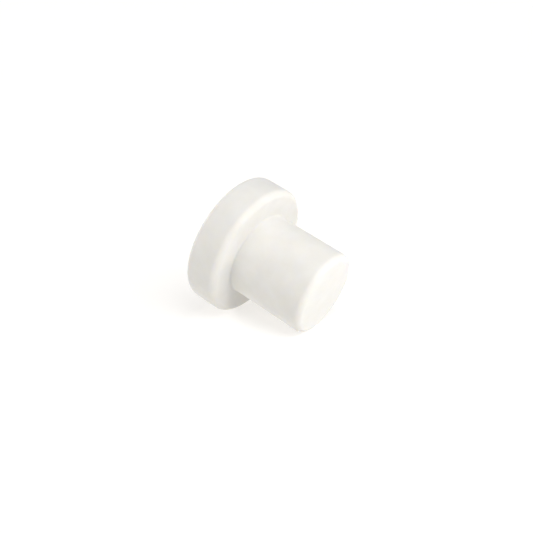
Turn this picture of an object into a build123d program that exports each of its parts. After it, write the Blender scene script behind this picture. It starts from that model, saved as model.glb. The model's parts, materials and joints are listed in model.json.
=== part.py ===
"""Closed-end expansion anchor for an M6 screw.

A flanged elastomer sleeve is moulded round a brass threaded insert. The shank goes into
a hole in the wall or panel, the flange stays outside, and the screw draws the insert
towards the flange, so that the sleeve shortens, swells and grips.

The anchor lies on its side on the plane Z = 0, on the flange's rim and the edge of the
tip, with the tip towards +X. The origin is under the middle of its bounding box.
"""

import os
from math import asin, atan2, cos, hypot, sin

from build123d import *

# Sleeve, outside
shank_diameter = 12.7  # slides into a 13 mm hole
shank_length = 12.2  # from the wall to the end of the tip
flange_diameter = 20.2
flange_thickness = 5.2
wall_rim_radius = 1.0  # rounding of the flange's rim on the wall side
face_rim_radius = 0.7  # rounding of the rim on the outer face
tip_radius = 0.9
root_fillet = 0.25  # in the corner between the shank and the flange

# Sleeve, inside
screw_clearance = 6.6  # clearance hole for M6
mouth_radius = 0.5
tip_wall = 1.5  # elastomer that closes the end behind the insert

# Insert: a grooved barrel, with a collar at its far end that pulls on the elastomer
insert_length = 5.6
barrel_diameter = 9.0
collar_diameter = 10.4
collar_thickness = 1.4
groove_diameter = 8.0
groove_width = 1.2
groove_start = 1.4  # from the barrel's near end
thread_bore = 5.0  # M6 x 1, bored to its minor diameter
lead_in = 0.5  # countersink at each end of the thread
bond_gap = 0.02  # film of bonding agent between the brass and the elastomer

# Along the axis, from the seat: the flange's wall-side face is 0 and the tip is positive
insert_start = shank_length - tip_wall - insert_length
insert_end = insert_start + insert_length


def roundings():
    """The rim's two roundings and the tip's, each as its centre's place along and out
    from the axis, and its radius."""
    rim = flange_diameter / 2
    wall_rim = (-wall_rim_radius, rim - wall_rim_radius, wall_rim_radius)
    face_rim = (face_rim_radius - flange_thickness, rim - face_rim_radius, face_rim_radius)
    tip = (shank_length - tip_radius, shank_diameter / 2 - tip_radius, tip_radius)
    return wall_rim, face_rim, tip


def resting_tilt():
    """How far the axis dips towards the tip, in radians, when rim and tip both touch Z = 0."""
    (rim_along, rim_out, rim_r), _, (tip_along, tip_out, tip_r) = roundings()
    along, out = tip_along - rim_along, rim_out - tip_out
    return atan2(out, along) - asin((tip_r - rim_r) / hypot(along, out))


def seat_plane():
    """The flange's wall-side face. The plane's Z runs along the axis towards the tip."""
    wall_rim, face_rim, tip = roundings()
    (rim_along, rim_out, rim_r), (face_along, face_out, face_r) = wall_rim, face_rim
    tip_along, tip_out, tip_r = tip
    tilt = resting_tilt()
    ahead = tip_along * cos(tilt) + tip_out * sin(tilt) + tip_r
    behind = -face_along * cos(tilt) + face_out * sin(tilt) + face_r
    height = rim_r + rim_out * cos(tilt) + rim_along * sin(tilt)
    return Plane(
        origin=((behind - ahead) / 2, 0, height),
        x_dir=(0, 1, 0),
        z_dir=(cos(tilt), 0, -sin(tilt)),
    )


def insert_outline(gap):
    """Half section of the insert's outside, as places along and out from the axis, grown by gap."""
    barrel, collar = barrel_diameter / 2 + gap, collar_diameter / 2 + gap
    groove = groove_diameter / 2 + gap
    near, far = insert_start - gap, insert_end + gap
    groove_near = insert_start + groove_start + gap
    groove_far = insert_start + groove_start + groove_width - gap
    shoulder = insert_end - collar_thickness - gap
    return [
        (near, 0),
        (near, barrel),
        (groove_near, barrel),
        (groove_near, groove),
        (groove_far, groove),
        (groove_far, barrel),
        (shoulder, barrel),
        (shoulder, collar),
        (far, collar),
        (far, 0),
    ]


os.makedirs("parts", exist_ok=True)

seat = seat_plane()
outer_face = seat.offset(-flange_thickness)
axis = Axis(seat.origin, seat.z_dir)
# Lengthways section: X along the axis, Y out from it
section = Plane(origin=seat.origin, x_dir=seat.z_dir, z_dir=(0, -1, 0))


with BuildPart() as sleeve:
    with BuildSketch(outer_face):
        Circle(flange_diameter / 2)
    extrude(amount=flange_thickness)
    with BuildSketch(seat):
        Circle(shank_diameter / 2)
    extrude(amount=shank_length)

    rings = sleeve.edges().filter_by(GeomType.CIRCLE).sort_by(axis)
    face_rim, wall_rim = rings.filter_by(lambda ring: ring.radius > shank_diameter / 2 + bond_gap)
    root, tip = rings.filter_by(lambda ring: ring.radius < shank_diameter / 2 + bond_gap)
    fillet(face_rim, face_rim_radius)
    fillet(wall_rim, wall_rim_radius)
    fillet(root, root_fillet)
    fillet(tip, tip_radius)

    # Screw hole from the outer face to the insert, with a rounded mouth
    with BuildSketch(outer_face):
        Circle(screw_clearance / 2)
    extrude(amount=flange_thickness + insert_start, mode=Mode.SUBTRACT)
    mouth = sleeve.edges().filter_by(GeomType.CIRCLE).group_by(axis)[0].sort_by(SortBy.RADIUS)[0]
    fillet(mouth, mouth_radius)

    # Pocket that the insert is bonded into
    with BuildSketch(section):
        with BuildLine():
            Polyline(*insert_outline(bond_gap), close=True)
        make_face()
    revolve(axis=axis, mode=Mode.SUBTRACT)

sleeve.part.label = "sleeve"


with BuildPart() as threaded_insert:
    with BuildSketch(section):
        with BuildLine():
            Polyline(*insert_outline(0), close=True)
        make_face()
    revolve(axis=axis)

    with BuildSketch(seat.offset(insert_start)):
        Circle(thread_bore / 2)
    extrude(amount=insert_length, mode=Mode.SUBTRACT)
    bore_ends = threaded_insert.edges().filter_by(
        lambda edge: edge.geom_type == GeomType.CIRCLE and abs(edge.radius - thread_bore / 2) < 1e-6
    )
    chamfer(bore_ends, lead_in)

threaded_insert.part.label = "threaded_insert"


for piece in (sleeve, threaded_insert):
    export_step(piece.part, f"parts/{piece.part.label}.step")

print(f"seat at x {seat.origin.X:.3f}, z {seat.origin.Z:.3f} mm, axis dips {resting_tilt():.5f} rad")
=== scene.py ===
"""Looks of a closed-end expansion anchor: a milky white elastomer sleeve, closed at the tip,
moulded round a brass insert with an M6 thread, lying on its side on a white table.
When the screw draws the insert towards the flange, the sleeve shortens and swells."""

import json
import math

import bpy
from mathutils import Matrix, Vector

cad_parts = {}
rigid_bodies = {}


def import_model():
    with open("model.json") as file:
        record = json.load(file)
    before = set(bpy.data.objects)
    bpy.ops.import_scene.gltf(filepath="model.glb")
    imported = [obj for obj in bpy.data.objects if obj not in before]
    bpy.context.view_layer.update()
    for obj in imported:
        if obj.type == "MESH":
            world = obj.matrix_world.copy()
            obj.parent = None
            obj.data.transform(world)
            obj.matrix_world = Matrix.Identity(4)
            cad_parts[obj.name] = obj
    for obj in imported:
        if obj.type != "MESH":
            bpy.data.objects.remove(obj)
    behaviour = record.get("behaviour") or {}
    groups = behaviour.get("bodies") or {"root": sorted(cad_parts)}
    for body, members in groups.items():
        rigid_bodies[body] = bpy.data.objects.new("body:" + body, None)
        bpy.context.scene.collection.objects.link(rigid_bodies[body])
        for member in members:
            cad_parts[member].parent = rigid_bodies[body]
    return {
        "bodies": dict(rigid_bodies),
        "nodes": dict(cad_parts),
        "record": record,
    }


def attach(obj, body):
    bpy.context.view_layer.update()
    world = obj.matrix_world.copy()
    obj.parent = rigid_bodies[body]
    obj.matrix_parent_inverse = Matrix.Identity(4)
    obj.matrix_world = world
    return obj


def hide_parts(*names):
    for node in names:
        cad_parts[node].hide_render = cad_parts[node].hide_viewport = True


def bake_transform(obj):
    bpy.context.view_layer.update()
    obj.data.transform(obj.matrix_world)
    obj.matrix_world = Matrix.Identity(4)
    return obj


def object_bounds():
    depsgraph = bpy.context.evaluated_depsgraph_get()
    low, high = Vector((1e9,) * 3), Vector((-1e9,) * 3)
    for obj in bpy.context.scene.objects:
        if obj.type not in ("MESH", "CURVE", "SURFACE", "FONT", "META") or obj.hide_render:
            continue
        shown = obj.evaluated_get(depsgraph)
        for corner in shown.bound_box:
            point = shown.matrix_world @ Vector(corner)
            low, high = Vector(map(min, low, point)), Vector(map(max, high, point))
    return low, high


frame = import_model()
cad_low, cad_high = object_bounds()

MM = 0.001

# Roundings and clearances of the sleeve, as in the CAD model
WALL_RIM_RADIUS = 1.0 * MM
FACE_RIM_RADIUS = 0.7 * MM
TIP_RADIUS = 0.9 * MM
ROOT_FILLET = 0.25 * MM
MOUTH_RADIUS = 0.5 * MM
BOND_GAP = 0.02 * MM
TIP_WALL = 1.5 * MM

# The insert, as in the CAD model
INSERT_LENGTH = 5.6 * MM
BARREL_RADIUS = 4.5 * MM
COLLAR_RADIUS = 5.2 * MM
COLLAR_THICKNESS = 1.4 * MM
GROOVE_RADIUS = 4.0 * MM
GROOVE_START = 1.4 * MM
GROOVE_WIDTH = 1.2 * MM
LEAD_IN = 0.5 * MM

# What the CAD model leaves to the meshes
THREAD_PITCH = 1.0 * MM
THREAD_MAJOR_RADIUS = 3.0 * MM
INSERT_BREAK = 0.15 * MM  # broken edges of the turned brass
TOOL_FEED = 0.10 * MM  # from one ring of the turning tool to the next
KNURL_TEETH = 60
KNURL_DEPTH = 0.12 * MM
DISH_DEPTH = 0.06 * MM  # moulding shrinkage draws the thick faces in

# Where the sleeve is shortened it swells, at its fullest by this much of the insert's travel
SWELLING_OUT = 1.07  # keeps the elastomer's volume at full draw
SWELLING_IN = 0.12  # closes the hole onto the screw

ROUND_STEPS = 10  # points along a quarter round
SHANK_RINGS = 72
BORE_RINGS = 24
THREAD_RINGS = 112
TURN_STEPS = 240  # a multiple of four per knurl tooth


# ---------------------------------------------------------------- the anchor's own frame

mounts = {mount["name"]: mount for mount in frame["record"]["mounts"]}
to_tip = Vector(mounts["shank"]["axis"]).normalized()
on_axis = Vector(mounts["shank"]["pos_m"])
wall_point = Vector(mounts["wall_seat"]["pos_m"])
face_point = Vector(mounts["outer_face"]["pos_m"])

seat = on_axis + to_tip * (wall_point - on_axis).dot(to_tip)
flange_thickness = (wall_point - face_point).dot(to_tip)
flange_radius = cad_high.y
shank_radius = mounts["shank"]["dims"]["r_mm"] * MM
bore_radius = mounts["screw_bore"]["dims"]["r_mm"] * MM
thread_minor_radius = mounts["screw_thread"]["dims"]["r_mm"] * MM
shank_length = max((v.co - seat).dot(to_tip) for v in frame["nodes"]["sleeve"].data.vertices)
insert_end = shank_length - TIP_WALL
insert_start = insert_end - INSERT_LENGTH

sideways = Vector((0, 1, 0))
outwards = sideways.cross(to_tip)


def place(along, out, turn):
    """A point from its distance along the axis from the seat, its radius and its angle."""
    return seat + to_tip * along + (sideways * math.sin(turn) + outwards * math.cos(turn)) * out


# ---------------------------------------------------------------- outlines

def quarter(along, out, radius, start, end):
    """Points of a rounding, as (along, out), about its centre from one angle to another in degrees."""
    angles = [math.radians(start + (end - start) * i / ROUND_STEPS) for i in range(ROUND_STEPS + 1)]
    return [(along + radius * math.cos(a), out + radius * math.sin(a)) for a in angles]


def across(along, start, end, rings, dish=0.0):
    """Points across a face from one radius to another. A dish sinks its middle by that much."""
    points = []
    for i in range(rings + 1):
        out = start + (end - start) * i / rings
        share = out / max(start, end)
        points.append((along + dish * (1 - share * share), out))
    return points


def lengthways(out, start, end, rings):
    """Points along a cylinder of one radius, after its start and up to its end."""
    return [(start + (end - start) * i / rings, out) for i in range(1, rings + 1)]


def insert_outside(gap):
    """Outline of the insert's outside from near end to far end, grown by gap."""
    near, far = insert_start - gap, insert_end + gap
    groove_near = insert_start + GROOVE_START + gap
    groove_far = insert_start + GROOVE_START + GROOVE_WIDTH - gap
    shoulder = insert_end - COLLAR_THICKNESS - gap
    return [
        (near, BARREL_RADIUS + gap),
        (groove_near, BARREL_RADIUS + gap),
        (groove_near, GROOVE_RADIUS + gap),
        (groove_far, GROOVE_RADIUS + gap),
        (groove_far, BARREL_RADIUS + gap),
        (shoulder, BARREL_RADIUS + gap),
        (shoulder, COLLAR_RADIUS + gap),
        (far, COLLAR_RADIUS + gap),
    ]


def sleeve_outline():
    """Half section of the sleeve, from the middle of the tip's end round to the pocket's end."""
    tip_flat = shank_radius - TIP_RADIUS
    rim_out = flange_radius - WALL_RIM_RADIUS
    face_out = flange_radius - FACE_RIM_RADIUS
    mouth_out = bore_radius + MOUTH_RADIUS
    root_out = shank_radius + ROOT_FILLET
    points = across(shank_length, 0, tip_flat, 12, dish=-DISH_DEPTH)
    points += quarter(shank_length - TIP_RADIUS, tip_flat, TIP_RADIUS, 0, 90)[1:]
    points += lengthways(shank_radius, shank_length - TIP_RADIUS, ROOT_FILLET, SHANK_RINGS)
    points += quarter(ROOT_FILLET, root_out, ROOT_FILLET, 270, 180)[1:]
    points += across(0, root_out, rim_out, 8)[1:]
    points += quarter(-WALL_RIM_RADIUS, rim_out, WALL_RIM_RADIUS, 0, 90)[1:]
    points += lengthways(flange_radius, -WALL_RIM_RADIUS, FACE_RIM_RADIUS - flange_thickness, 8)
    points += quarter(FACE_RIM_RADIUS - flange_thickness, face_out, FACE_RIM_RADIUS, 90, 180)[1:]
    points += across(-flange_thickness, face_out, mouth_out, 10)[1:]
    points += quarter(MOUTH_RADIUS - flange_thickness, mouth_out, MOUTH_RADIUS, 180, 270)[1:]
    points += lengthways(bore_radius, MOUTH_RADIUS - flange_thickness, insert_start - BOND_GAP, BORE_RINGS)
    points += insert_outside(BOND_GAP)
    points += [(insert_end + BOND_GAP, 0)]
    return points


def insert_outline():
    """Half section of the insert: its outside with broken edges, then its bore back to the near end."""
    outside = insert_outside(0)
    near, far = outside[0][0], outside[-1][0]
    points = [(near, THREAD_MAJOR_RADIUS), (near, BARREL_RADIUS - INSERT_BREAK)]
    points += [(near + INSERT_BREAK, BARREL_RADIUS)]
    points += outside[1:-1]
    points += [(far - INSERT_BREAK, COLLAR_RADIUS), (far, COLLAR_RADIUS - INSERT_BREAK)]
    points += [(far, thread_minor_radius)]
    points += lengthways(thread_minor_radius, far, near, THREAD_RINGS)[:-1]
    return points


def thread_radius(along, turn):
    """Radius of the right-handed M6 thread: flats of P/8 at the root and P/4 at the crest."""
    phase = (along / THREAD_PITCH - turn / (2 * math.pi)) % 1
    from_root = min(phase, 1 - phase)
    flank = min(max((from_root - 1 / 16) / (3 / 8 - 1 / 16), 0), 1)
    return THREAD_MAJOR_RADIUS + (thread_minor_radius - THREAD_MAJOR_RADIUS) * flank


def insert_surface(along, out, turn):
    """Radius of the insert's surface: thread and lead-ins in its bore, and a straight knurl outside."""
    if out <= thread_minor_radius:
        from_end = min(along - insert_start, insert_end - along)
        return max(thread_radius(along, turn), thread_minor_radius + LEAD_IN - from_end)
    if out < BARREL_RADIUS:
        return out
    tooth = (turn * KNURL_TEETH / (2 * math.pi)) % 1
    return out - KNURL_DEPTH * abs(1 - 2 * tooth)


# ---------------------------------------------------------------- meshes

def turned(name, outline, surface=None):
    """A closed body of revolution. An outline point on the axis is a pole.
    surface(along, out, turn) gives the radius there in place of the outline's own."""
    vertices, rings = [], []
    for along, out in outline:
        count = 1 if out < 1e-9 else TURN_STEPS
        rings.append([len(vertices) + i for i in range(count)])
        for i in range(count):
            turn = 2 * math.pi * i / TURN_STEPS
            radius = surface(along, out, turn) if surface and count > 1 else out
            vertices.append(place(along, radius, turn))
    faces = []
    for ring, following in zip(rings, rings[1:] + rings[:1]):
        if len(ring) == 1 and len(following) == 1:
            continue
        for i in range(TURN_STEPS):
            j = (i + 1) % TURN_STEPS
            corners = [ring[i % len(ring)], ring[j % len(ring)]]
            corners += [following[j % len(following)], following[i % len(following)]]
            faces.append(list(dict.fromkeys(corners)))
    mesh = bpy.data.meshes.new(name)
    mesh.from_pydata([tuple(v) for v in vertices], [], faces)
    mesh.validate()
    mesh.shade_smooth()
    mesh.set_sharp_from_angle(angle=math.radians(35))
    piece = bpy.data.objects.new(name, mesh)
    bpy.context.scene.collection.objects.link(piece)
    return piece


def point_numbers(piece, name, number):
    """Stores a number on each point of a mesh, from its distance along the axis and its radius."""
    layer = piece.data.attributes.new(name, "FLOAT", "POINT")
    for vertex, item in zip(piece.data.vertices, layer.data):
        along = (vertex.co - seat).dot(to_tip)
        out = (vertex.co - seat - to_tip * along).length
        item.value = number(along, out)


def swelling(along, out):
    """How far the sleeve swells outwards here, as a share of the insert's travel."""
    place_along = min(max(along / (insert_start - BOND_GAP), 0), 1)
    fullest = SWELLING_OUT if out > (shank_radius + bore_radius) / 2 else -SWELLING_IN
    return fullest * math.sqrt(4 * place_along * (1 - place_along))


def swell_with(piece, drawn):
    """Swells the sleeve outwards by its swelling times the distance that the body drawn has moved."""
    group = bpy.data.node_groups.new("swelling", "GeometryNodeTree")
    group.interface.new_socket("Geometry", in_out="INPUT", socket_type="NodeSocketGeometry")
    group.interface.new_socket("Geometry", in_out="OUTPUT", socket_type="NodeSocketGeometry")
    nodes, links = group.nodes, group.links

    def vector(operation, first, second=None, output="Vector"):
        node = nodes.new("ShaderNodeVectorMath")
        node.operation = operation
        links.new(first, node.inputs[0])
        if isinstance(second, Vector):
            node.inputs[1].default_value = second
        elif second is not None:
            links.new(second, node.inputs["Scale"] if operation == "SCALE" else node.inputs[1])
        return node.outputs[output]

    body = nodes.new("GeometryNodeObjectInfo")
    body.transform_space = "RELATIVE"
    body.inputs["Object"].default_value = drawn
    travel = vector("LENGTH", body.outputs["Location"], output="Value")
    share = nodes.new("GeometryNodeInputNamedAttribute")
    share.data_type = "FLOAT"
    share.inputs["Name"].default_value = "swelling"

    from_seat = vector("SUBTRACT", nodes.new("GeometryNodeInputPosition").outputs[0], seat)
    radial = vector("SUBTRACT", from_seat, vector("PROJECT", from_seat, to_tip))
    per_travel = vector("SCALE", vector("NORMALIZE", radial), share.outputs["Attribute"])
    offset = vector("SCALE", per_travel, travel)

    start, end = nodes.new("NodeGroupInput"), nodes.new("NodeGroupOutput")
    move = nodes.new("GeometryNodeSetPosition")
    links.new(start.outputs[0], move.inputs["Geometry"])
    links.new(offset, move.inputs["Offset"])
    links.new(move.outputs["Geometry"], end.inputs[0])
    piece.modifiers.new("swelling", "NODES").node_group = group


# ---------------------------------------------------------------- materials

def principled(name):
    """A new material, with its node tree and its Principled shader."""
    material = bpy.data.materials.new(name)
    material.use_nodes = True
    tree = material.node_tree
    return material, tree, tree.nodes["Principled BSDF"]


def noise(tree, size, detail=2.0):
    """A noise whose features have that size in metres."""
    node = tree.nodes.new("ShaderNodeTexNoise")
    node.inputs["Scale"].default_value = 1 / size
    node.inputs["Detail"].default_value = detail
    node.inputs["Roughness"].default_value = 0.55
    coordinates = tree.nodes.new("ShaderNodeTexCoord")
    tree.links.new(coordinates.outputs["Object"], node.inputs["Vector"])
    return node.outputs["Fac"]


def between(tree, share, low, high):
    """A number from low to high as a noise runs from 0.3 to 0.7."""
    node = tree.nodes.new("ShaderNodeMapRange")
    node.inputs["From Min"].default_value = 0.3
    node.inputs["From Max"].default_value = 0.7
    node.inputs["To Min"].default_value = low
    node.inputs["To Max"].default_value = high
    tree.links.new(share, node.inputs["Value"])
    return node.outputs["Result"]


def blended(tree, share, low, high):
    """A colour from low to high as a noise runs from 0.3 to 0.7."""
    ramp = tree.nodes.new("ShaderNodeValToRGB")
    first, last = ramp.color_ramp.elements
    first.position, last.position = 0.3, 0.7
    first.color, last.color = (*low, 1), (*high, 1)
    tree.links.new(share, ramp.inputs["Fac"])
    return ramp.outputs["Color"]


def bumped(tree, height, depth, before=None):
    """A normal from a height of 0 to 1 and the depth in metres that it stands for."""
    node = tree.nodes.new("ShaderNodeBump")
    node.inputs["Distance"].default_value = depth
    tree.links.new(height, node.inputs["Height"])
    if before is not None:
        tree.links.new(before, node.inputs["Normal"])
    return node.outputs["Normal"]


def elastomer():
    """Milky white silicone from a satin mould: cloudy inside, faintly grained and uneven outside."""
    material, tree, shader = principled("milky_elastomer")
    cloud = noise(tree, 3.0 * MM, detail=3.0)
    colour = blended(tree, cloud, (0.665, 0.652, 0.618), (0.700, 0.689, 0.664))
    tree.links.new(colour, shader.inputs["Base Color"])
    shader.inputs["Subsurface Weight"].default_value = 1.0
    shader.inputs["Subsurface Radius"].default_value = (1.0, 0.85, 0.6)
    shader.inputs["Subsurface Scale"].default_value = 0.3 * MM
    shader.inputs["IOR"].default_value = 1.43
    shader.inputs["Specular IOR Level"].default_value = 0.35
    tree.links.new(between(tree, noise(tree, 1.2 * MM), 0.54, 0.66), shader.inputs["Roughness"])
    uneven = bumped(tree, noise(tree, 2.6 * MM), 0.04 * MM)
    grained = bumped(tree, noise(tree, 0.12 * MM), 0.002 * MM, before=uneven)
    tree.links.new(grained, shader.inputs["Normal"])
    return material


def brass():
    """Turned brass, slightly dulled, with the tool's rings along its outline."""
    material, tree, shader = principled("turned_brass")
    dulled = noise(tree, 1.5 * MM, detail=4.0)
    colour = blended(tree, dulled, (0.62, 0.43, 0.18), (0.80, 0.60, 0.29))
    tree.links.new(colour, shader.inputs["Base Color"])
    shader.inputs["Metallic"].default_value = 1.0
    tree.links.new(between(tree, dulled, 0.38, 0.24), shader.inputs["Roughness"])
    path = tree.nodes.new("ShaderNodeAttribute")
    path.attribute_name = "tool_path"
    rings = tree.nodes.new("ShaderNodeMath")
    rings.operation = "SINE"
    tree.links.new(path.outputs["Fac"], rings.inputs[0])
    scratched = bumped(tree, noise(tree, 0.1 * MM), 0.002 * MM)
    tree.links.new(bumped(tree, rings.outputs[0], 0.003 * MM, before=scratched), shader.inputs["Normal"])
    return material


def table_top():
    """White and lit from below, as a table for product pictures is."""
    material, tree, shader = principled("table_top")
    shader.inputs["Base Color"].default_value = (0.42, 0.42, 0.42, 1)
    shader.inputs["Roughness"].default_value = 0.9
    shader.inputs["Specular IOR Level"].default_value = 0.0
    shader.inputs["Emission Color"].default_value = (1.0, 0.975, 0.94, 1)
    shader.inputs["Emission Strength"].default_value = 0.62
    return material


def white_wall():
    material, tree, shader = principled("white_wall")
    shader.inputs["Base Color"].default_value = (0, 0, 0, 1)
    shader.inputs["Specular IOR Level"].default_value = 0.0
    shader.inputs["Emission Color"].default_value = (1, 1, 1, 1)
    shader.inputs["Emission Strength"].default_value = 1.0
    return material


# ---------------------------------------------------------------- the pieces

sleeve = turned("sleeve_elastomer", sleeve_outline())
sleeve.data.materials.append(elastomer())
point_numbers(sleeve, "swelling", swelling)
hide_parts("sleeve")
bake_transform(sleeve)
swell_with(sleeve, frame["bodies"]["insert"])

insert = turned("insert_turned", insert_outline(), insert_surface)
insert.data.materials.append(brass())
point_numbers(insert, "tool_path", lambda along, out: (along + out) * 2 * math.pi / TOOL_FEED)
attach(insert, "insert")
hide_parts("threaded_insert")


# ---------------------------------------------------------------- table, light and camera

ROOM_SIZE = 1.5  # from the anchor to the wall, in metres
BOX_DISTANCE = 0.10


def staged(name, corners, faces, material):
    """A piece of the studio, which isn't part of the anchor."""
    mesh = bpy.data.meshes.new(name)
    mesh.from_pydata(corners, [], faces)
    mesh.materials.append(material)
    piece = bpy.data.objects.new(name, mesh)
    bpy.context.scene.collection.objects.link(piece)
    return piece


def table():
    size = ROOM_SIZE * 1.1
    corners = [(-size, -size, 0), (size, -size, 0), (size, size, 0), (-size, size, 0)]
    staged("table", corners, [(0, 1, 2, 3)], table_top())


def wall():
    """A round white wall behind the table. It lights nothing, and lets all light through."""
    sides = 96
    ring = [(math.cos(2 * math.pi * i / sides), math.sin(2 * math.pi * i / sides)) for i in range(sides)]
    corners = [(x * ROOM_SIZE, y * ROOM_SIZE, z) for z in (-0.01, ROOM_SIZE) for x, y in ring]
    faces = [(i, (i + 1) % sides, (i + 1) % sides + sides, i + sides) for i in range(sides)]
    piece = staged("wall", corners, faces, white_wall())
    piece.visible_diffuse = piece.visible_glossy = piece.visible_transmission = False
    piece.visible_volume_scatter = piece.visible_shadow = False


def lamp(name, kind, azimuth, elevation, distance=0.0):
    """A lamp that faces the anchor. Azimuth 0 is from behind the camera, 90 from its right."""
    turn, height = math.radians(CAMERA_AZIMUTH + azimuth), math.radians(elevation)
    level = Vector((math.sin(turn), -math.cos(turn), 0))
    back = level * math.cos(height) + Vector((0, 0, math.sin(height)))
    light = bpy.data.lights.new(name, kind)
    piece = bpy.data.objects.new(name, light)
    piece.location = seat + back * distance
    piece.rotation_euler = back.to_track_quat("Z", "Y").to_euler()
    bpy.context.scene.collection.objects.link(piece)
    return piece, light


def soft_sun(name, azimuth, elevation, strength, width=40):
    """A soft light from far away, some degrees wide. Its strength is how it lights a white surface."""
    piece, light = lamp(name, "SUN", azimuth, elevation)
    light.energy = math.pi * strength
    light.angle = math.radians(width)


def soft_box(name, azimuth, elevation, strength):
    """A round soft light close by, as bright at the anchor as a soft sun of that strength."""
    piece, light = lamp(name, "AREA", azimuth, elevation, BOX_DISTANCE)
    piece.visible_camera = False
    light.shape = "DISK"
    light.size = BOX_DISTANCE * 0.9
    light.energy = math.pi ** 2 * BOX_DISTANCE ** 2 * strength


def surroundings(strength):
    world = bpy.data.worlds.new("white_room")
    world.use_nodes = True
    background = world.node_tree.nodes["Background"]
    background.inputs["Color"].default_value = (1, 1, 1, 1)
    background.inputs["Strength"].default_value = strength
    bpy.context.scene.world = world


# The camera's line of sight to the seat
CAMERA_AZIMUTH = 36.77
CAMERA_ELEVATION = 22.86
CAMERA_DISTANCE = 105.83 * MM
CAMERA_LENS = 48.49
AIM_RIGHT = 1.15 * MM  # the camera points this far right of the seat
AIM_DOWN = 1.92 * MM


def camera():
    azimuth, elevation = math.radians(CAMERA_AZIMUTH), math.radians(CAMERA_ELEVATION)
    right = Vector((math.cos(azimuth), math.sin(azimuth), 0))
    level = Vector((math.sin(azimuth), -math.cos(azimuth), 0))
    back = level * math.cos(elevation) + Vector((0, 0, math.sin(elevation)))
    up = back.cross(right)
    data = bpy.data.cameras.new("camera")
    data.lens = CAMERA_LENS
    data.clip_start = 1 * MM
    data.clip_end = 20
    view = bpy.data.objects.new("camera", data)
    view.location = seat + back * CAMERA_DISTANCE
    aim = seat + right * AIM_RIGHT - up * AIM_DOWN
    view.rotation_euler = (view.location - aim).to_track_quat("Z", "Y").to_euler()
    bpy.context.scene.collection.objects.link(view)
    bpy.context.scene.camera = view


table()
wall()
surroundings(0.08)
soft_box("key", 61, 22, 0.52)
soft_sun("low_right", 90, 24, 0.14)
soft_sun("overhead", 30, 55, 0.59)
soft_sun("front_left", 318, 27, 0.30)
soft_sun("left", 270, 65, 0.15)
soft_sun("behind", 233, 17, 0.36, width=8)
camera()
bpy.context.scene.view_settings.view_transform = "Standard"
